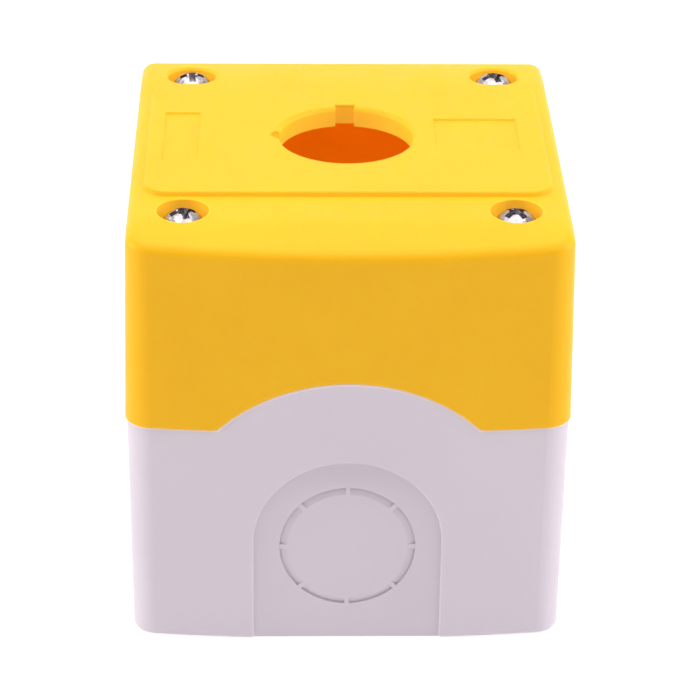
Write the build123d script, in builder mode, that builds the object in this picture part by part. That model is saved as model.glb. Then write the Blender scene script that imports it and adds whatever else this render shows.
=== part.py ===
from build123d import *

import os
from math import asin, cos, radians, sin, sqrt, tan

# Enclosure of a one-button control station, with the button's own hole empty. A light grey base
# box carries a deep yellow cover, held by four captive pan-head screws. +Z is the button's axis,
# out of the cover; -Y is the end with the nearer cable entry. The origin is the centre of the
# base's mounting face. Millimetres.

# ---------------------------------------------------------------- driving dimensions
width = 71.7  # over the side walls, at the parting line
depth = 77.1  # over the end walls, at the parting line
height = 73.6  # mounting face to the top of the raised panel
parting_z = 39.7
parting_gap = 0.1
base_inset = 0.3  # the base stands in from the cover's lower edge
corner_radius = 4.6  # front corners in plan
back_corner_radius = 3.1
bow_radius = 300.0  # plan radius of the bowed front wall
cover_draft = 1.25  # degrees
base_draft = 0.4

wall = 3.2
cover_seam_edge, base_seam_edge = 0.1, 0.3
skin = 1.6  # thickness of the cover's skirt outside the base's tongue
clearance = 0.3
floor_thickness = 3.0

hole_y = 2.4  # the button's axis
hole_d = 22.3
keyway_width = 3.2
keyway_reach = 12.35  # far wall of the keyway, from the axis
notch_width = 2.9  # with a round end
notch_reach = 12.5
slot_edge = 0.25
hole_edge = 0.8
top_wall = 3.5  # at the hole, panel included

panel_y = 1.8
panel_height = 0.7
panel_width = 66.0
panel_depth = 44.8
panel_corner = 4.0
panel_slope = 35.0  # degrees, of its sides from upright
panel_edge = 0.5
label_depth = 0.3
label_slope = 45.0  # degrees, of the recesses' sides from upright
label_corner = 0.4
left_label, left_label_size = (-27.3, -0.3), (6.1, 19.8)  # centre from the panel's
right_label, right_label_size = (21.6, 0.3), (14.1, 13.7)

back_roll, back_roll_radius = 23.0, 85.0  # the top rolls down to both ends: start from panel_y
front_roll, front_roll_radius = 29.6, 24.0
edge_radius = 2.0

screw_x, screw_y = 26.3, 27.6  # from the panel's centre
pocket_radius = 4.2
pocket_rim = 0.5
head_top_z = 73.0
head_radius = 3.3
head_height = 2.6
head_side = 0.9  # height of the head's straight side, under its dome
cross_span = 4.2
cross_width = 1.1
cross_depth = 1.8
cross_taper = 8.0
thread_radius = 2.0
thread_play = 0.08
screw_length = 18.0
boss_radius = 6.6
boss_z = 62.0  # where the cover's bosses meet the base's pillars
pillar_radius = 5.0
insert_radius = 2.9
insert_length = 8.0
washer_radius = 3.1
washer_thickness = 0.8

tongue_z = 50.0
gasket_thickness = 1.2

entry_z = 17.5  # centre height of the cable entries
arch_z = 19.0
arch_radius = 29.5  # the base rises into the cover above each entry
arch_blend = 2.2
recess_z = 18.7  # centre height of the entry recess's round top
recess_radius = 15.3
recess_depth = 1.6
recess_edge = 0.3
entry_radius = 11.1
knockout_flat = 9.8
knockout_thickness = 1.3
groove_depth = 0.45
groove_floor = 0.15  # width of the groove's flat bottom
web_width = 0.75
web_count = 8

rib_thickness = 2.4
rib_top = 46.0
foot_edge = 1.0

mount_y = 27.0
mount_radius = 2.15

# ---------------------------------------------------------------- derived sizes
recess_y = depth / 2 - base_inset - recess_depth  # flat floor of the entry recess
cover_top_z = height - panel_height
ceiling_z = height - top_wall
seat_z = head_top_z - head_height
ledge_z = tongue_z + gasket_thickness
corners = {
    "front_left": (-screw_x, panel_y - screw_y),
    "front_right": (screw_x, panel_y - screw_y),
    "back_left": (-screw_x, panel_y + screw_y),
    "back_right": (screw_x, panel_y + screw_y),
}


def outline(inset=0.0):
    """Plan of the box at the parting line, moved in by inset: the front bowed, the back straight."""
    half_width = width / 2 - inset
    half_depth = depth / 2 - inset
    radius = bow_radius - inset
    corner_y = half_depth - (radius - sqrt(radius**2 - half_width**2))
    with BuildSketch() as plan:
        with BuildLine():
            front = ThreePointArc(
                (-half_width, -corner_y), (0, -half_depth), (half_width, -corner_y)
            )
            Polyline(front @ 1, (half_width, half_depth), (-half_width, half_depth), front @ 0)
        make_face()
        fillet(plan.vertices().filter_by(lambda v: v.Y < 0), corner_radius - inset)
        fillet(plan.vertices().filter_by(lambda v: v.Y > half_depth - 0.01),
               max(back_corner_radius - inset, 0.5))
    return plan.sketch


def parting_profile(grow=0.0):
    """End view of the base's side of the parting line: a straight line and a blended arch."""
    line_z = parting_z + grow
    reach = arch_radius + grow
    half_arch = sqrt(reach**2 - (line_z - arch_z) ** 2)
    with BuildSketch() as end:
        with BuildLine():
            arch = ThreePointArc((-half_arch, line_z), (0, arch_z + reach), (half_arch, line_z))
            Polyline(arch @ 1, (width, line_z), (width, -width), (-width, -width),
                     (-width, line_z), arch @ 0)
        make_face()
        fillet(
            end.vertices().filter_by(lambda v: abs(abs(v.X) - half_arch) < 0.01),
            arch_blend - grow,
        )
    return end.sketch


def crown_profile(top_z):
    """Side view of everything under the top, which is flat between its two rolled ends."""
    far = depth / 2 + 5
    back_y, front_y = panel_y + back_roll, panel_y - front_roll
    back_drop = back_roll_radius - sqrt(back_roll_radius**2 - (far - back_y) ** 2)
    front_drop = front_roll_radius - sqrt(front_roll_radius**2 - (far + front_y) ** 2)
    with BuildSketch() as side:
        with BuildLine():
            back = TangentArc((back_y, top_z), (far, top_z - back_drop), tangent=(1, 0))
            front = TangentArc((front_y, top_z), (-far, top_z - front_drop), tangent=(-1, 0))
            Line(back @ 0, front @ 0)
            Polyline(back @ 1, (far, 0), (-far, 0), front @ 1)
        make_face()
    return side.sketch


def on_parting_line(edge):
    """True for the outer edges along the parting line, not for those across it or under the arch."""
    place = edge.center()
    across = abs(edge.tangent_at(0.5).Y) > 0.99 and abs(place.X) < width / 2 - wall
    under_arch = abs(place.X) < 1 and place.Z < parting_z + 1
    low, high = parting_z - 0.1, arch_z + arch_radius + parting_gap + 0.1
    return low < place.Z < high and not across and not under_arch


os.makedirs("parts", exist_ok=True)

# ---------------------------------------------------------------- cover
# Its cavity: the ceiling follows the crown.
with BuildPart() as cover_cavity:
    with BuildSketch(Plane.XY.offset(parting_z)):
        add(outline(wall))
    extrude(amount=cover_top_z - parting_z, taper=cover_draft)
    with BuildSketch(Plane.YZ):
        add(crown_profile(ceiling_z))
    extrude(amount=width, both=True, mode=Mode.INTERSECT)

# Screw bosses: they hang from the ceiling and run into the walls.
with BuildPart() as cover_bosses:
    with BuildSketch(Plane.XY.offset(boss_z)):
        with Locations(*corners.values()):
            Circle(boss_radius)
    extrude(amount=seat_z + 1 - boss_z)
    with BuildSketch(Plane.XY.offset(boss_z)):
        add(outline(skin))
    extrude(amount=ceiling_z + 1 - boss_z, mode=Mode.INTERSECT)

# The base's side of the parting line, with the seam's gap.
with BuildPart() as parting_block:
    with BuildSketch(Plane.XZ):
        add(parting_profile(parting_gap))
    extrude(amount=depth, both=True)

with BuildPart() as cover:
    with BuildSketch(Plane.XY.offset(parting_z)):
        add(outline())
    extrude(amount=cover_top_z - parting_z, taper=cover_draft)
    with BuildSketch(Plane.YZ):
        add(crown_profile(cover_top_z))
    extrude(amount=width, both=True, mode=Mode.INTERSECT)
    roll_starts = [panel_y - front_roll, panel_y + back_roll]
    rim = cover.edges().filter_by(
        lambda e: e.center().Z > cover_top_z - 4
        and not (abs(e.center().X) < 1 and min(abs(e.center().Y - y) for y in roll_starts) < 0.1)
    )
    fillet(rim, edge_radius)
    add(parting_block.part, mode=Mode.SUBTRACT)
    fillet(cover.edges().filter_by(on_parting_line), cover_seam_edge)
    add(cover_cavity.part, mode=Mode.SUBTRACT)
    add(cover_bosses.part)

    # skirt: the wall's inner half stops at the ledge, where the gasket seats
    with BuildSketch(Plane.XY.offset(parting_z)):
        add(outline(skin))
    extrude(amount=ledge_z - parting_z, mode=Mode.SUBTRACT)
    add(parting_block.part, mode=Mode.SUBTRACT)

    # raised panel with its softened rim
    with BuildSketch(Plane.XY.offset(cover_top_z)):
        with Locations((0, panel_y)):
            RectangleRounded(panel_width, panel_depth, panel_corner)
    extrude(amount=panel_height, taper=panel_slope)
    fillet(cover.faces().sort_by(Axis.Z)[-1].outer_wire().edges(), panel_edge)

    # two shallow label recesses
    with BuildSketch(Plane.XY.offset(height)):
        with Locations((left_label[0], panel_y + left_label[1])):
            RectangleRounded(*left_label_size, label_corner)
        with Locations((right_label[0], panel_y + right_label[1])):
            RectangleRounded(*right_label_size, label_corner)
    extrude(amount=-label_depth, taper=label_slope, mode=Mode.SUBTRACT)

    # the button's keyway and its small locating notch, then its hole with a rounded lip
    with BuildSketch(Plane.XY.offset(height)):
        with Locations((0, hole_y)):
            Circle(hole_d / 2 - 1)
        with Locations((0, hole_y + keyway_reach / 2)):
            Rectangle(keyway_width, keyway_reach)
        with Locations((-(notch_reach - notch_width / 2), hole_y)):
            Circle(notch_width / 2)
    extrude(amount=-top_wall - 1, mode=Mode.SUBTRACT)
    slot_rim = cover.faces().sort_by(Axis.Z)[-1].inner_wires().sort_by(SortBy.LENGTH)[-1]
    fillet(slot_rim.edges(), slot_edge)
    with BuildSketch(Plane(origin=(0, hole_y, height), x_dir=(1, 0, 0), z_dir=(0, -1, 0))):
        with BuildLine():
            bore = Polyline((hole_d / 2 + hole_edge, 0), (0, 0), (0, -top_wall - 1),
                            (hole_d / 2, -top_wall - 1), (hole_d / 2, -hole_edge))
            RadiusArc(bore @ 1, bore @ 0, hole_edge)
        make_face()
    revolve(axis=Axis((0, hole_y, 0), (0, 0, 1)), mode=Mode.SUBTRACT)

    # screw pockets with a rounded rim, their washer seats and the screws' clearance holes
    with BuildSketch(Plane.XY.offset(seat_z)):
        with Locations(*corners.values()):
            Circle(pocket_radius)
    extrude(amount=height - seat_z, mode=Mode.SUBTRACT)
    rims = cover.edges().filter_by(
        lambda e: e.center().Z > cover_top_z - 1
        and any(abs(e.bounding_box().center().X - x) < 0.1
                and abs(e.bounding_box().center().Y - y) < 0.1 for x, y in corners.values())
    )
    fillet(rims, pocket_rim)
    with BuildSketch(Plane.XY.offset(seat_z)):
        with Locations(*corners.values()):
            Circle(washer_radius + clearance)
    extrude(amount=-washer_thickness, mode=Mode.SUBTRACT)
    with BuildSketch(Plane.XY.offset(seat_z)):
        with Locations(*corners.values()):
            Circle(thread_radius + clearance)
    extrude(amount=boss_z - seat_z, mode=Mode.SUBTRACT)

cover.part.label = "cover"
export_step(cover.part, "parts/cover.step")

# ---------------------------------------------------------------- base
# Inside of the box, and the upstanding tongue that the cover's skirt closes over.
with BuildPart() as base_cavity:
    with BuildSketch(Plane.XY.offset(floor_thickness)):
        add(outline(wall))
    extrude(amount=height - floor_thickness)

with BuildPart() as base_tongue:
    with BuildSketch(Plane.XY.offset(parting_z - 3)):
        add(outline(skin + clearance))
    extrude(amount=tongue_z - parting_z + 3)

with BuildPart() as base_below:
    with BuildSketch(Plane.XZ):
        add(parting_profile())
    extrude(amount=depth, both=True)

with BuildPart() as base:
    with BuildSketch():
        add(outline(base_inset + parting_z * tan(radians(base_draft))))
    extrude(amount=tongue_z, taper=-base_draft)
    fillet(base.faces().sort_by(Axis.Z)[0].edges(), foot_edge)
    add(base_below.part, mode=Mode.INTERSECT)
    fillet(base.edges().filter_by(on_parting_line), base_seam_edge)
    add(base_tongue.part)
    add(base_cavity.part, mode=Mode.SUBTRACT)

    # pillars for the threaded inserts, each tied to the side wall
    with BuildSketch(Plane.XY.offset(floor_thickness - 1)):
        with Locations(*corners.values()):
            Circle(pillar_radius)
    extrude(amount=boss_z - floor_thickness + 1)
    with BuildSketch(Plane.XY.offset(floor_thickness - 1)):
        with Locations(*[(x * 1.18, y) for x, y in corners.values()]):
            Rectangle(6, rib_thickness)
    extrude(amount=rib_top - floor_thickness + 1)
    with BuildSketch(Plane.XY.offset(boss_z)):
        with Locations(*corners.values()):
            Circle(insert_radius)
    extrude(amount=-insert_length, mode=Mode.SUBTRACT)
    with BuildSketch(Plane.XY.offset(boss_z)):
        with Locations(*corners.values()):
            Circle(thread_radius + clearance)
    extrude(amount=-screw_length, mode=Mode.SUBTRACT)

    # entry recesses: flat-floored, round-topped, open at the bottom
    for along in (-1, 1):
        with BuildSketch(Plane.XZ.offset(-along * recess_y)):
            with Locations((0, recess_z)):
                Circle(recess_radius)
            with Locations((0, (recess_z - 5) / 2)):
                Rectangle(2 * recess_radius, recess_z + 5)
        extrude(amount=-along * 10, mode=Mode.SUBTRACT)
        with BuildSketch(Plane.XZ.offset(-along * recess_y)):
            with Locations((0, entry_z)):
                Circle(entry_radius)
        extrude(amount=along * 10, mode=Mode.SUBTRACT)

    lips = base.edges().filter_by(
        lambda e: abs(e.center().Y) > recess_y + recess_edge
        and abs(e.center().X) < recess_radius + 0.1
        and 1 < e.center().Z < parting_z - 1
    )
    fillet(lips, recess_edge)

    # wall-fixing holes
    with BuildSketch():
        with Locations((0, mount_y), (0, -mount_y)):
            Circle(mount_radius)
    extrude(amount=floor_thickness, mode=Mode.SUBTRACT)

base.part.label = "base"
export_step(base.part, "parts/base.step")

# ---------------------------------------------------------------- knockouts
# A disc flush with the recess floor, bevelled to a thin web and held by short bridges.
for name, along in (("front_knockout", -1), ("back_knockout", 1)):
    face = Plane(origin=(0, along * recess_y, entry_z), x_dir=(1, 0, 0), z_dir=(0, along, 0))
    with BuildPart() as knockout:
        with BuildSketch(face):
            Circle(entry_radius)
        extrude(amount=-knockout_thickness)
        with BuildSketch(face):
            Circle(entry_radius)
        extrude(amount=-groove_depth, mode=Mode.SUBTRACT)
        with BuildSketch(face):
            Circle(knockout_flat)
        with BuildSketch(face.offset(-groove_depth)):
            Circle(entry_radius - groove_floor)
        loft()
        with BuildSketch(face):
            with PolarLocations((knockout_flat + entry_radius) / 2 - 0.2, web_count):
                Rectangle(entry_radius - knockout_flat + 0.4, web_width)
            Circle(entry_radius, mode=Mode.INTERSECT)
        extrude(amount=-groove_depth)
    knockout.part.label = name
    export_step(knockout.part, f"parts/{name}.step")

# ---------------------------------------------------------------- gasket
with BuildPart() as gasket:
    with BuildSketch(Plane.XY.offset(tongue_z)):
        add(outline(skin + clearance))
        add(outline(wall), mode=Mode.SUBTRACT)
    extrude(amount=gasket_thickness)

gasket.part.label = "gasket"
export_step(gasket.part, "parts/gasket.step")

# ---------------------------------------------------------------- screws and their fittings
head_top = seat_z + head_height
dome_height = head_height - head_side
dome_radius = (head_radius**2 + dome_height**2) / (2 * dome_height)
dome_half_angle = asin(head_radius / dome_radius) / 2
dome_middle = (dome_radius * sin(dome_half_angle),
               head_top - dome_radius * (1 - cos(dome_half_angle)))
for where, (x, y) in corners.items():
    with BuildPart() as screw:
        with BuildSketch(Plane(origin=(x, y, 0), x_dir=(1, 0, 0), z_dir=(0, -1, 0))):
            with BuildLine():
                shank = Polyline((0, seat_z - screw_length), (thread_radius, seat_z - screw_length),
                                 (thread_radius, seat_z), (head_radius, seat_z),
                                 (head_radius, seat_z + head_side))
                dome = ThreePointArc(shank @ 1, dome_middle, (0, head_top))
                Line(dome @ 1, shank @ 0)
            make_face()
        revolve(axis=Axis((x, y, 0), (0, 0, 1)))
        chamfer(screw.edges().sort_by(Axis.Z)[0], 0.6)
        for span_x, span_y in ((cross_span, cross_width), (cross_width, cross_span)):
            with BuildSketch(Plane.XY.offset(head_top)):
                with Locations((x, y)):
                    Rectangle(span_x, span_y)
            extrude(amount=-cross_depth, taper=cross_taper, mode=Mode.SUBTRACT)
        with BuildSketch(Plane.XY.offset(head_top)):
            with Locations((x, y)):
                Circle(cross_width)
        extrude(amount=-cross_depth, taper=3 * cross_taper, mode=Mode.SUBTRACT)
    screw.part.label = f"cover_screw_{where}"
    export_step(screw.part, f"parts/cover_screw_{where}.step")

    with BuildPart() as washer:
        with BuildSketch(Plane.XY.offset(seat_z)):
            with Locations((x, y)):
                Circle(washer_radius)
                Circle(thread_radius + clearance, mode=Mode.SUBTRACT)
        extrude(amount=-washer_thickness)
    washer.part.label = f"seal_washer_{where}"
    export_step(washer.part, f"parts/seal_washer_{where}.step")

    with BuildPart() as insert:
        with BuildSketch(Plane.XY.offset(boss_z)):
            with Locations((x, y)):
                Circle(insert_radius)
                Circle(thread_radius + thread_play, mode=Mode.SUBTRACT)
        extrude(amount=-insert_length)
    insert.part.label = f"threaded_insert_{where}"
    export_step(insert.part, f"parts/threaded_insert_{where}.step")
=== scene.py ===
import math
import random

import bmesh
import bpy
from mathutils import Matrix, Vector


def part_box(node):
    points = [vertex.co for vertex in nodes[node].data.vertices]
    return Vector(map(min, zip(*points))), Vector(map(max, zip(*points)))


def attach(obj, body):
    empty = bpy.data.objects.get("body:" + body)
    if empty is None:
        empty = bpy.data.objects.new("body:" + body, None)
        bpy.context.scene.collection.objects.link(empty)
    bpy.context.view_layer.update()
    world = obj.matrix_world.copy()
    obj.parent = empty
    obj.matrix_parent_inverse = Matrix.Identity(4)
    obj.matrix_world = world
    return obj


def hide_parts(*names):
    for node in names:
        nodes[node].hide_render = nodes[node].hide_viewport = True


# Looks of the one-hole push button enclosure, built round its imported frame. Lengths are metres;
# numbers multiplied by MM are millimetres.
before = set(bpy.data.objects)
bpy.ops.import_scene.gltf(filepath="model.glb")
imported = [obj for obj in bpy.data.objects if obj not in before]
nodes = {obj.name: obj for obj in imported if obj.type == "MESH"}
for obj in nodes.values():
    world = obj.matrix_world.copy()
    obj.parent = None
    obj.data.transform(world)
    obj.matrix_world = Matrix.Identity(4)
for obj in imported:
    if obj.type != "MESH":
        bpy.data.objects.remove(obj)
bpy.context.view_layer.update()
scene = bpy.context.scene
MM = 0.001
TURN = 2 * math.pi

# ---------------------------------------------------------------- camera
CAMERA_PLACE = Vector((-11.35, -440.67, 269.56)) * MM
CAMERA_PITCH, CAMERA_YAW, CAMERA_ROLL = 28.09, 1.61, 0.77  # degrees: down, right, clockwise
CAMERA_LENS = 149.8  # on a 36 mm sensor

pitch, yaw, roll = (math.radians(a) for a in (CAMERA_PITCH, CAMERA_YAW, CAMERA_ROLL))
forward = Vector((
    math.sin(yaw) * math.cos(pitch), math.cos(yaw) * math.cos(pitch), -math.sin(pitch)
))
level_right = Vector((math.cos(yaw), -math.sin(yaw), 0))
level_up = level_right.cross(forward)
camera_right = level_right * math.cos(roll) + level_up * math.sin(roll)
camera_up = level_up * math.cos(roll) - level_right * math.sin(roll)

camera_data = bpy.data.cameras.new("camera")
camera_data.lens, camera_data.sensor_width = CAMERA_LENS, 36
camera_data.clip_start, camera_data.clip_end = 0.01, 20
camera = bpy.data.objects.new("camera", camera_data)
scene.collection.objects.link(camera)
camera.matrix_world = (
    Matrix.Translation(CAMERA_PLACE)
    @ Matrix((camera_right, camera_up, -forward)).transposed().to_4x4()
)
scene.camera = camera
scene.view_settings.view_transform = "Standard"


# ---------------------------------------------------------------- node helpers
class Tree:
    """A material's node tree, with short ways to add and wire nodes."""

    def __init__(self, name):
        self.material = bpy.data.materials.new(name)
        self.material.use_nodes = True
        self.tree = self.material.node_tree
        self.shader = self.tree.nodes["Principled BSDF"]
        self.place = self.tree.nodes.new("ShaderNodeTexCoord").outputs["Object"]

    def set(self, **values):
        for socket, value in values.items():
            self.shader.inputs[socket.replace("_", " ")].default_value = value

    def wire(self, source, socket):
        self.tree.links.new(source, self.shader.inputs[socket])

    def add(self, kind, links=(), settings=(), **values):
        made = self.tree.nodes.new(kind)
        for key, value in settings:
            setattr(made, key, value)
        for socket, value in values.items():
            made.inputs[socket.replace("_", " ")].default_value = value
        for socket, source in links:
            self.tree.links.new(source, made.inputs[socket])
        return made

    def stretched(self, scale):
        """Object coordinates, stretched by scale along X, Y and Z."""
        return self.add("ShaderNodeMapping", [("Vector", self.place)], Scale=scale).outputs[0]

    def noise(self, size_mm, detail=3.0, roughness=0.55, where=None):
        """Noise whose features are about size_mm across."""
        return self.add("ShaderNodeTexNoise", [("Vector", where or self.place)],
                        Scale=1 / (size_mm * MM), Detail=detail, Roughness=roughness).outputs[0]

    def math(self, operation, a, b=0.0):
        made = self.add("ShaderNodeMath", settings=[("operation", operation)])
        for socket, value in zip(made.inputs, (a, b)):
            if isinstance(value, (int, float)):
                socket.default_value = value
            else:
                self.tree.links.new(value, socket)
        return made.outputs[0]

    def length(self, a, b):
        """The distance whose two legs are a and b."""
        squares = [self.math("POWER", self.math("ABSOLUTE", leg), 2.0) for leg in (a, b)]
        return self.math("SQRT", self.math("ADD", *squares))

    def ramp(self, source, stops):
        """A ramp over source, from (place, grey or colour) stops."""
        made = self.add("ShaderNodeValToRGB", [("Fac", source)])
        return fill_ramp(made, stops)

    def span(self, source, low, high, start=0.3, end=0.7):
        """source between start and end, mapped onto low to high."""
        return self.add("ShaderNodeMapRange", [("Value", source)], From_Min=start, From_Max=end,
                        To_Min=low, To_Max=high).outputs[0]

    def blend(self, share, a, b):
        made = self.add("ShaderNodeMix", [("Factor", share)], [("data_type", "RGBA")])
        for index, value in ((6, a), (7, b)):
            if isinstance(value, tuple):
                made.inputs[index].default_value = (*value, 1)
            else:
                self.tree.links.new(value, made.inputs[index])
        return made.outputs[2]

    def bump(self, layers):
        """Stacks (height, distance in mm, strength) layers into one normal."""
        normal = None
        for height, distance, strength in layers:
            links = [("Height", height)] + ([("Normal", normal)] if normal else [])
            normal = self.add("ShaderNodeBump", links, Distance=distance * MM,
                              Strength=strength).outputs[0]
        self.wire(normal, "Normal")


def fill_ramp(made, stops):
    elements = made.color_ramp.elements
    while len(elements) < len(stops):
        elements.new(0.5)
    for element, (place, tone) in zip(elements, stops):
        element.position = place
        element.color = (*tone, 1) if isinstance(tone, tuple) else (tone, tone, tone, 1)
    return made.outputs["Color"]


# ---------------------------------------------------------------- surroundings
FLOOR_Z = -0.05 * MM
FLOOR_TONE, FLOOR_GLOW = 0.36, 0.72
SKY = [(0.0, 0.16), (0.15, 0.08), (0.4, 0.25), (0.8, 0.9)]  # brightness by height
KEY_WATTS, SIDE_WATTS = 20.2, 4.8


def make_floor():
    """A wide pale floor that curves up into a backdrop. From underneath it is see-through."""
    half, front, back, height, bend, steps = 3.0, -2.0, 2.2, 3.0, 0.8, 12
    profile = [(front, FLOOR_Z)]
    for step in range(steps + 1):
        a = math.radians(90 * step / steps)
        profile.append((back - bend + bend * math.sin(a), FLOOR_Z + bend - bend * math.cos(a)))
    profile.append((back, height))
    mesh = bpy.data.meshes.new("floor")
    mesh.from_pydata([(x, y, z) for y, z in profile for x in (-half, half)], [],
                     [(2 * i, 2 * i + 1, 2 * i + 3, 2 * i + 2) for i in range(len(profile) - 1)])
    for polygon in mesh.polygons:
        polygon.use_smooth = True
    floor = bpy.data.objects.new("floor", mesh)
    scene.collection.objects.link(floor)
    paper = Tree("floor_paper")
    paper.set(Roughness=0.9, Emission_Color=(1, 1, 1, 1), Emission_Strength=FLOOR_GLOW)
    paper.wire(paper.ramp(paper.noise(60), [(0.3, FLOOR_TONE), (0.7, FLOOR_TONE - 0.02)]),
               "Base Color")
    clear = paper.add("ShaderNodeBsdfTransparent").outputs[0]
    under = paper.add("ShaderNodeNewGeometry").outputs["Backfacing"]
    seen = paper.add("ShaderNodeMixShader", [(0, under), (1, paper.shader.outputs[0]), (2, clear)])
    paper.tree.links.new(seen.outputs[0], paper.tree.nodes["Material Output"].inputs["Surface"])
    mesh.materials.append(paper.material)


def area_light(name, place, target, size, watts):
    data = bpy.data.lights.new(name, "AREA")
    data.shape, data.energy = "RECTANGLE", watts
    data.size, data.size_y = size
    light = bpy.data.objects.new(name, data)
    scene.collection.objects.link(light)
    light.location = place
    light.rotation_euler = (Vector(target) - Vector(place)).to_track_quat("-Z", "Y").to_euler()


def make_world():
    world = bpy.data.worlds.new("world")
    scene.world = world
    world.use_nodes = True
    tree = world.node_tree
    where = tree.nodes.new("ShaderNodeTexCoord")
    split = tree.nodes.new("ShaderNodeSeparateXYZ")
    shades = tree.nodes.new("ShaderNodeValToRGB")
    tree.links.new(where.outputs["Generated"], split.inputs[0])
    tree.links.new(split.outputs["Z"], shades.inputs["Fac"])
    tree.links.new(fill_ramp(shades, SKY), tree.nodes["Background"].inputs["Color"])


make_floor()
make_world()
area_light("key", (0.0, 0.1, 1.6), (0, 0, 0.05), (2.2, 2.0), KEY_WATTS)
for name, side in (("left", -1.0), ("right", 1.0)):
    area_light(name, (side, -0.08, 0.35), (0, 0, 0.04), (0.25, 0.5), SIDE_WATTS)


# ---------------------------------------------------------------- materials
def moulded(name, tone, deep, rough=(0.36, 0.5), grain=0.5):
    """Injection-moulded plastic: soft mottling, spark-eroded grain, flow marks and rubbed spots."""
    made = Tree(name)
    mottle = made.span(made.noise(22, 4), 0, 1)
    speck = made.noise(0.7, 2)
    made.wire(made.blend(mottle, tone, deep), "Base Color")
    rubbed = made.noise(3.5, 6, 0.7, made.stretched((1.0, 0.35, 1.6)))
    made.wire(made.math("ADD", made.span(rubbed, *rough), made.span(speck, -0.03, 0.03)),
              "Roughness")
    flow = made.noise(9, 2, 0.4, made.stretched((1, 1, 3)))
    made.bump([(flow, 0.05, 0.35), (made.noise(0.22, 3, 0.6), 0.012, grain),
               (made.noise(0.9, 3, 0.6), 0.02, 0.4 * grain)])
    return made


YELLOW, YELLOW_DEEP = (0.925, 0.50, 0.008), (0.90, 0.475, 0.006)
GREY, GREY_DEEP = (0.70, 0.62, 0.69), (0.68, 0.60, 0.67)
INSIDE_TONE, INSIDE_GLOW = (0.66, 0.12, 0.0), 0.52
LIGHT_TONE, BORE_GLOW, POCKET_GLOW = (0.66, 0.47, 0.06), 0.5, 0.3
INSIDE_HALF_X, INSIDE_HALF_Y, INSIDE_TOP = 33.3, 35.6, 70.15
HOLE_Y, HOLE_RADIUS, HOLE_REACH, LIP_LOW, LIP_HIGH = 2.4, 11.2, 12.7, 73.0, 73.58
SCREW_X, SCREW_Y, SCREW_MIDDLE_Y, POCKET_RADIUS = 26.3, 27.6, 1.8, 4.25


def make_yellow():
    """Yellow cover plastic. A fixed glow on its inside, hole and pockets stands in for soaked light."""
    made = moulded("yellow_abs", YELLOW, YELLOW_DEEP)
    made.set(Specular_IOR_Level=0.2, Subsurface_Weight=0.35, Subsurface_Scale=1.2 * MM,
             Subsurface_Radius=(1.0, 0.5, 0.1))
    x, y, z = made.add("ShaderNodeSeparateXYZ", [(0, made.place)]).outputs
    half_x, half_y = made.math("ABSOLUTE", x), made.math("ABSOLUTE", y)
    below = made.math("LESS_THAN", z, INSIDE_TOP * MM)
    inside = made.math("MULTIPLY", made.math("LESS_THAN", half_x, INSIDE_HALF_X * MM),
                       made.math("LESS_THAN", half_y, INSIDE_HALF_Y * MM))
    inside = made.math("MULTIPLY", inside, below)

    reach = made.length(half_x, made.math("SUBTRACT", y, HOLE_Y * MM))
    bore = made.span(reach, 1.0, 0.8, HOLE_RADIUS * MM, (HOLE_RADIUS + 0.6) * MM)
    bore = made.math("MULTIPLY", bore, made.math("LESS_THAN", reach, HOLE_REACH * MM))
    bore = made.math("MULTIPLY", bore, made.span(z, 1.0, 0.0, LIP_LOW * MM, LIP_HIGH * MM))

    side = made.math("ABSOLUTE", made.math("SUBTRACT", half_x, SCREW_X * MM))
    end = made.math("ABSOLUTE", made.math("SUBTRACT", y, SCREW_MIDDLE_Y * MM))
    end = made.math("ABSOLUTE", made.math("SUBTRACT", end, SCREW_Y * MM))
    pocket = made.span(made.length(side, end), 1.0, 0.0, POCKET_RADIUS * MM,
                       (POCKET_RADIUS + 0.2) * MM)

    above = made.math("SUBTRACT", 1.0, below)
    shine = made.math("MULTIPLY", above, made.math(
        "ADD", made.math("MULTIPLY", bore, BORE_GLOW), made.math("MULTIPLY", pocket, POCKET_GLOW)))
    made.wire(made.blend(above, INSIDE_TONE, LIGHT_TONE), "Emission Color")
    glow = made.math("ADD", made.math("MULTIPLY", inside, INSIDE_GLOW), shine)
    uneven = made.span(made.noise(12, 3), 0.9, 1.08)
    made.wire(made.math("MULTIPLY", glow, uneven), "Emission Strength")
    return made.material


# The last two set the width in mm and the strength of the painted highlight along the base's upper
# edge.
PARTING_Z, ARCH_Z, ARCH_RADIUS, HIGHLIGHT_BAND, HIGHLIGHT_GLOW = 39.7, 19.0, 29.5, 0.4, 0.22


def make_grey():
    """Light grey base plastic, with a painted highlight along its upper edge: a narrow glowing pale
    band.
    """
    made = moulded("grey_abs", GREY, GREY_DEEP, (0.4, 0.55))
    made.set(Specular_IOR_Level=0.35, Subsurface_Weight=0.12, Subsurface_Scale=0.8 * MM,
             Subsurface_Radius=(1.0, 0.8, 0.7), Emission_Color=(1.0, 0.93, 0.98, 1))
    # Painted highlight: a pale glow over a narrow band just below the upper edge, along the parting
    # line and round the arch.
    x, y, z = made.add("ShaderNodeSeparateXYZ", [(0, made.place)]).outputs
    reach = made.length(x, made.math("SUBTRACT", z, ARCH_Z * MM))
    under = made.math("MAXIMUM", made.math("SUBTRACT", PARTING_Z * MM, z),
                      made.math("SUBTRACT", ARCH_RADIUS * MM, reach))
    edge = made.span(under, 1.0, 0.0, 0.1 * MM, HIGHLIGHT_BAND * MM)
    edge = made.math("MULTIPLY", edge, made.math("GREATER_THAN", under, -0.02 * MM))
    made.wire(made.math("MULTIPLY", edge, HIGHLIGHT_GLOW), "Emission Strength")
    return made.material


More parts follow.
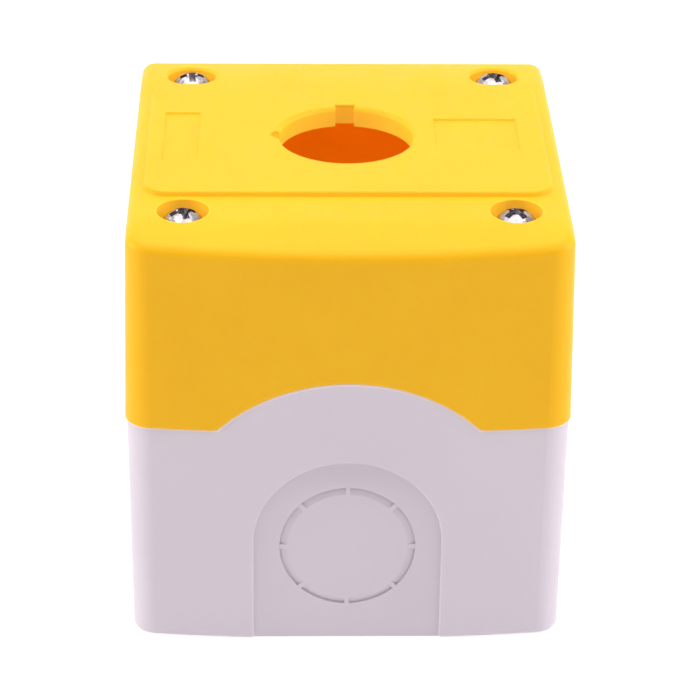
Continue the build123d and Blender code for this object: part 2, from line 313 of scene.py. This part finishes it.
def make_zinc():
    """Bright zinc plate: faint stamping ripples, fine scratches and duller patches."""
    made = Tree("zinc_plate")
    made.set(Metallic=1.0)
    patches = made.noise(1.3, 5, 0.65)
    made.wire(made.ramp(patches, [(0.3, (0.60, 0.57, 0.58)), (0.5, (0.47, 0.43, 0.45)),
                                  (0.7, (0.30, 0.26, 0.28))]), "Base Color")
    made.wire(made.span(patches, 0.12, 0.36), "Roughness")
    scratches = made.noise(0.25, 4, 0.6, made.stretched((1, 7, 1)))
    made.bump([(made.noise(1.1, 2, 0.5), 0.2, 1.0), (scratches, 0.012, 0.5)])
    return made.material


def make_brass():
    """Machined brass: turning marks round the axis and tarnish in the dips."""
    made = Tree("machined_brass")
    made.set(Metallic=1.0)
    tarnish = made.noise(1.6, 5, 0.6)
    made.wire(made.ramp(tarnish, [(0.3, (0.82, 0.60, 0.27)), (0.7, (0.62, 0.41, 0.16))]),
              "Base Color")
    made.wire(made.span(tarnish, 0.22, 0.42), "Roughness")
    marks = made.noise(0.12, 3, 0.6, made.stretched((0.2, 0.2, 2)))
    made.bump([(marks, 0.01, 0.5)])
    return made.material


def make_rubber(name, tone, pore_mm):
    """Black rubber: closed pores, dust in them, and a dry sheen."""
    made = Tree(name)
    made.set(Specular_IOR_Level=0.35, Sheen_Weight=0.15)
    pores = made.add("ShaderNodeTexVoronoi", [("Vector", made.place)],
                     Scale=1 / (pore_mm * MM)).outputs["Distance"]
    dusty = tuple(min(1.0, 3.5 * c + 0.02) for c in tone)
    made.wire(made.ramp(made.noise(4, 5, 0.6), [(0.45, tone), (0.85, dusty)]), "Base Color")
    made.wire(made.span(pores, 0.85, 0.6, 0.0, 0.8), "Roughness")
    made.bump([(pores, 0.08, 0.7), (made.noise(0.3), 0.02, 0.4)])
    return made.material


yellow, grey = make_yellow(), make_grey()
zinc, brass = make_zinc(), make_brass()
foam = make_rubber("foam_rubber", (0.022, 0.022, 0.024), 0.35)
rubber = make_rubber("nitrile_rubber", (0.03, 0.03, 0.032), 0.8)
for name, finish in (("cover", yellow), ("base", grey), ("front_knockout", grey),
                     ("back_knockout", grey)):
    nodes[name].data.materials.clear()
    nodes[name].data.materials.append(finish)


# ---------------------------------------------------------------- mesh helpers
def new_piece(name, verts, faces, material, smooth_angle=40):
    """A mesh object from millimetre vertices, smooth except over edges sharper than the angle."""
    mesh = bpy.data.meshes.new(name)
    mesh.from_pydata([Vector(v) * MM for v in verts], [], faces)
    work = bmesh.new()
    work.from_mesh(mesh)
    bmesh.ops.remove_doubles(work, verts=work.verts, dist=1e-7)
    bmesh.ops.recalc_face_normals(work, faces=work.faces)
    for face in work.faces:
        face.smooth = True
    for edge in work.edges:
        edge.smooth = edge.calc_face_angle(0) < math.radians(smooth_angle)
    work.to_mesh(mesh)
    work.free()
    mesh.materials.append(material)
    made = bpy.data.objects.new(name, mesh)
    scene.collection.objects.link(made)
    return made


def grid_faces(rows, columns, close_rows=False):
    """Quads over a grid of rows by columns of vertices, closed round each row."""
    faces = []
    for i in range(rows if close_rows else rows - 1):
        for j in range(columns):
            k = (j + 1) % columns
            n = (i + 1) % rows
            faces.append((i * columns + j, i * columns + k, n * columns + k, n * columns + j))
    return faces


def lathe(profile, columns, ripple=None):
    """Turns a closed or axis-to-axis (r, z) profile round Z. ripple changes r by angle and z."""
    verts = []
    for i, (r, z) in enumerate(profile):
        for j in range(columns):
            a = TURN * j / columns
            radius = r + (ripple(i, a, z) if ripple else 0)
            verts.append((radius * math.cos(a), radius * math.sin(a), z))
    return verts


def shifted(verts, x, y, z):
    return [(a + x, b + y, c + z) for a, b, c in verts]


def turned_piece(name, profile, columns, material, place=(0, 0, 0), ripple=None, ring=False,
                 smooth_angle=40):
    """A lathed piece at place. ring closes a profile that doesn't meet the axis."""
    return new_piece(name, shifted(lathe(profile, columns, ripple), *place),
                     grid_faces(len(profile), columns, ring), material, smooth_angle)


def arc(cx, cz, r, start, end, steps):
    """(r, z) points on an arc, angles in degrees from the +r direction."""
    return [(cx + r * math.cos(math.radians(start + (end - start) * i / steps)),
             cz + r * math.sin(math.radians(start + (end - start) * i / steps)))
            for i in range(steps + 1)]


# ---------------------------------------------------------------- screws
SEAT_Z, SCREW_LENGTH, BOSS_Z = 70.4, 18.0, 62.0
HEAD_RADIUS, HEAD_HEIGHT, HEAD_SIDE = 3.3, 2.6, 0.9
THREAD_RADIUS, CORE_RADIUS, THREAD_PITCH = 2.0, 1.62, 0.7
CROSS_SPAN, CROSS_WIDTH, CROSS_DEPTH = 4.3, 1.15, 1.9
SCREW_TURNS = {"front_left": 20, "front_right": 40, "back_left": 5, "back_right": 25}  # degrees
CORNERS = {}
for where in ("front_left", "front_right", "back_left", "back_right"):
    low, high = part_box(f"threaded_insert_{where}")
    CORNERS[where] = ((low + high) / 2 / MM).xy


def screw_body():
    """Profile of the head, a domed pan with rounded edges, and the shank's core."""
    dome_height, dome_steps = HEAD_HEIGHT - HEAD_SIDE, 22
    dome = (HEAD_RADIUS**2 + dome_height**2) / (2 * dome_height)
    half = math.degrees(math.asin(HEAD_RADIUS / dome))
    profile = [(0.0, -SCREW_LENGTH), (CORE_RADIUS - 0.5, -SCREW_LENGTH),
               (CORE_RADIUS, -SCREW_LENGTH + 0.5), (CORE_RADIUS, -1.6), (THREAD_RADIUS, -1.2),
               (THREAD_RADIUS, -0.15), (THREAD_RADIUS + 0.15, 0.0), (HEAD_RADIUS - 0.15, 0.0)]
    profile += arc(HEAD_RADIUS - 0.15, 0.15, 0.15, -90, 0, 3)[1:]
    rim = arc(0, HEAD_HEIGHT - dome, dome, 90 - half, 90, dome_steps)
    side_top = rim[0][1] - 0.25
    profile += [(HEAD_RADIUS, side_top), (HEAD_RADIUS - 0.03, side_top + 0.12)]
    profile += [(r - 0.06 * (1 - i / dome_steps), z) for i, (r, z) in enumerate(rim[1:], 1)]
    profile[-1] = (0.0, HEAD_HEIGHT)
    return profile


def helix(radius_low, radius_high, low, high, ridge, columns=28):
    """A screw-thread ridge of triangular section, faded in and out at its ends."""
    turns = (high - low) / THREAD_PITCH
    rows = int(turns * columns)
    verts = []
    for i in range(rows + 1):
        a, z = TURN * i / columns, low + (high - low) * i / rows
        fade = min(1.0, i / columns, (rows - i) / columns)
        tip = radius_low + (radius_high - radius_low) * fade
        for r, dz in ((radius_low - 0.05, -ridge), (tip, -0.06), (tip, 0.06),
                      (radius_low - 0.05, ridge)):
            verts.append((r * math.cos(a), r * math.sin(a), z + dz))
    faces = [(4 * i + j, 4 * i + (j + 1) % 4, 4 * i + 4 + (j + 1) % 4, 4 * i + 4 + j)
             for i in range(rows) for j in range(4)]
    faces += [(0, 1, 2, 3), tuple(4 * rows + j for j in (3, 2, 1, 0))]
    return verts, faces


def blade(span, width, depth, draft=0.16):
    """A tapered block that cuts one bar of the cross recess, with its top above the head."""
    verts, lift = [], 0.6
    for z, grow in ((lift, draft * lift), (-depth * 0.8, -draft * depth * 0.8),
                    (-depth, -draft * depth - 0.22)):
        for sx, sy in ((-1, -1), (1, -1), (1, 1), (-1, 1)):
            verts.append((sx * (span / 2 + grow), sy * (width / 2 + 0.35 * grow), z))
    faces = grid_faces(3, 4) + [(3, 2, 1, 0), (8, 9, 10, 11)]
    return verts, faces


def cut_away(target, cutter):
    """Takes the cutter's shape out of the target, and deletes the cutter."""
    modifier = target.modifiers.new("cut", "BOOLEAN")
    modifier.operation, modifier.object, modifier.solver = "DIFFERENCE", cutter, "EXACT"
    bpy.context.view_layer.update()
    result = bpy.data.meshes.new_from_object(
        target.evaluated_get(bpy.context.evaluated_depsgraph_get()))
    target.modifiers.clear()
    target.data = result
    bpy.data.objects.remove(cutter)


def screw_mesh(name):
    """One screw at the origin: cross-recessed pan head, rolled thread and chamfered tip."""
    screw = turned_piece(name, screw_body(), 64, zinc)
    cutters = []
    for turned in (0, 1):
        verts, faces = blade(CROSS_SPAN, CROSS_WIDTH, CROSS_DEPTH)
        if turned:
            verts = [(-y, x, z) for x, y, z in verts]
        cutters.append(new_piece("cutter", shifted(verts, 0, 0, HEAD_HEIGHT), faces, zinc))
    cone = [(0.0, -CROSS_DEPTH - 0.35), (0.35, -CROSS_DEPTH), (1.15, -0.35), (1.3, 0.6), (0.0, 0.6)]
    cutters.append(turned_piece("cutter", cone, 24, zinc, (0, 0, HEAD_HEIGHT)))
    for cutter in cutters:
        cut_away(screw, cutter)
    thread_verts, thread_faces = helix(CORE_RADIUS, THREAD_RADIUS - 0.01, -SCREW_LENGTH + 0.6,
                                       -1.7, 0.26)
    thread = new_piece("thread", thread_verts, thread_faces, zinc)
    work = bmesh.new()
    work.from_mesh(screw.data)
    work.from_mesh(thread.data)
    rim = [e for e in work.edges if e.is_manifold and e.calc_face_angle(0) > math.radians(35)
           and min(v.co.z for v in e.verts) > 0.5 * MM]
    bmesh.ops.bevel(work, geom=rim, offset=0.05 * MM, segments=2, affect="EDGES",
                    clamp_overlap=True)
    for edge in work.edges:
        edge.smooth = edge.calc_face_angle(0) < math.radians(50)
    for face in work.faces:
        face.smooth = True
    work.to_mesh(screw.data)
    work.free()
    bpy.data.objects.remove(thread)
    return screw


def place_screws():
    spin = random.Random(7)
    first = screw_mesh("screw_pattern")
    for where, (x, y) in CORNERS.items():
        mesh = first.data.copy()
        turn = math.radians(SCREW_TURNS[where] + spin.uniform(-2, 2))
        mesh.transform(Matrix.Translation(Vector((x, y, SEAT_Z)) * MM)
                       @ Matrix.Rotation(turn, 4, "Z"))
        screw = bpy.data.objects.new(f"screw_{where}", mesh)
        scene.collection.objects.link(screw)
        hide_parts(f"cover_screw_{where}")
        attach(screw, f"screw_{where}")
    bpy.data.objects.remove(first)


# ---------------------------------------------------------------- inserts, washers, gasket
INSERT_RADIUS, INSERT_LENGTH, THREAD_PLAY, THREAD_DEPTH = 2.9, 8.0, 0.08, 0.22
KNURLS, KNURL_LEAN, KNURL_DEPTH = 26, 1.6, 0.22
BAND_HALF, BAND_DEPTH = 0.9, 0.35
WASHER_RADIUS, WASHER_THICKNESS, WASHER_BORE = 3.1, 0.8, 2.3


def tooth(phase):
    """A triangle wave from 0 to 1 and back over each whole number of phase."""
    return abs(2 * (phase % 1.0) - 1)


def place_inserts():
    """Knurled brass inserts with a plain band at the middle and a threaded bore."""
    rows, chamfer = 54, 0.35
    outer = [(INSERT_RADIUS, -INSERT_LENGTH + chamfer + (INSERT_LENGTH - 2 * chamfer) * i / rows)
             for i in range(rows + 1)]
    inner = [(THREAD_RADIUS + THREAD_PLAY, -0.4 - (INSERT_LENGTH - 0.8) * i / rows)
             for i in range(rows + 1)]
    profile = ([(INSERT_RADIUS - chamfer, -INSERT_LENGTH)] + outer + [(INSERT_RADIUS - chamfer, 0.0)]
               + [(THREAD_RADIUS + 0.45, 0.0)] + inner + [(THREAD_RADIUS + 0.45, -INSERT_LENGTH)])
    first_inner = len(outer) + 3

    def ripple(index, angle, z):
        if 0 < index <= len(outer):
            if abs(z + INSERT_LENGTH / 2) < BAND_HALF:
                return -BAND_DEPTH
            across, lean = KNURLS * angle / TURN, KNURL_LEAN * z
            return -KNURL_DEPTH * max(tooth(across + lean), tooth(across - lean))
        if first_inner <= index < first_inner + len(inner):
            return THREAD_DEPTH * tooth(angle / TURN + z / THREAD_PITCH)
        return 0

    for where, (x, y) in CORNERS.items():
        insert = turned_piece(f"insert_{where}", profile, 104, brass, (x, y, BOSS_Z), ripple,
                              ring=True, smooth_angle=30)
        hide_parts(f"threaded_insert_{where}")
        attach(insert, "base")


def place_washers():
    """Rubber sealing washers with rounded, slightly squeezed edges."""
    half, bulge = WASHER_THICKNESS / 2, 0.32
    edges = (arc(WASHER_RADIUS - bulge, -half, bulge, -90, 90, 8)
             + arc(WASHER_BORE + bulge, -half, bulge, 90, 270, 8))
    profile = [(r, -half + (z + half) * half / bulge) for r, z in edges]
    for where, (x, y) in CORNERS.items():
        washer = turned_piece(f"washer_{where}", profile, 56, rubber, (x, y, SEAT_Z), ring=True,
                              smooth_angle=60)
        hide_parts(f"seal_washer_{where}")
        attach(washer, f"screw_ring_{where}")


WIDTH, DEPTH, BOW_RADIUS = 71.7, 77.1, 300.0
FRONT_CORNER, BACK_CORNER = 4.6, 3.1
GASKET_OUTER, GASKET_INNER, GASKET_LOW, GASKET_HIGH = 1.9, 3.2, 50.0, 51.2


def ring_path(inset, straight=24, round_steps=10):
    """Points and outward normals round the box's plan at that inset: bowed front, straight back."""
    half_x, half_y, bow = WIDTH / 2 - inset, DEPTH / 2 - inset, BOW_RADIUS - inset
    r, back_r = FRONT_CORNER - inset, max(BACK_CORNER - inset, 0.5)
    bow_y = bow - half_y
    lean = math.asin((half_x - r) / (bow - r))
    front_y = bow_y - (bow - r) * math.cos(lean)
    path = []
    for i in range(straight + 1):
        a = -lean + 2 * lean * i / straight
        path.append((bow * math.sin(a), bow_y - bow * math.cos(a), math.sin(a), -math.cos(a)))
    tilt = math.degrees(lean)
    for cx, cy, radius, start, end in (
        (half_x - r, front_y, r, tilt - 90, 0), (half_x - back_r, half_y - back_r, back_r, 0, 90),
        (back_r - half_x, half_y - back_r, back_r, 90, 180), (r - half_x, front_y, r, 180, 270 - tilt),
    ):
        for i in range(round_steps + 1):
            a = math.radians(start + (end - start) * i / round_steps)
            path.append((cx + radius * math.cos(a), cy + radius * math.sin(a),
                         math.cos(a), math.sin(a)))
    return path[:-1]


def place_gasket():
    """A foam strip laid round the tongue, its edges rounded where it is squeezed."""
    middle = (GASKET_OUTER + GASKET_INNER) / 2
    half_width = (GASKET_INNER - GASKET_OUTER) / 2
    middle_z, half_height = (GASKET_LOW + GASKET_HIGH) / 2, (GASKET_HIGH - GASKET_LOW) / 2
    section, around = [], 20
    for i in range(around):
        a = TURN * i / around
        c, s = math.cos(a), math.sin(a)
        section.append((half_width * math.copysign(abs(c) ** 0.45, c),
                        half_height * math.copysign(abs(s) ** 0.3, s)))
    verts = []
    path = ring_path(middle)
    for x, y, nx, ny in path:
        for out, rise in section:
            verts.append((x + nx * out, y + ny * out, middle_z + rise))
    gasket = new_piece("gasket_strip", verts, grid_faces(len(path), around, close_rows=True), foam,
                       60)
    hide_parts("gasket")
    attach(gasket, "base")


place_screws()
place_inserts()
place_washers()
place_gasket()
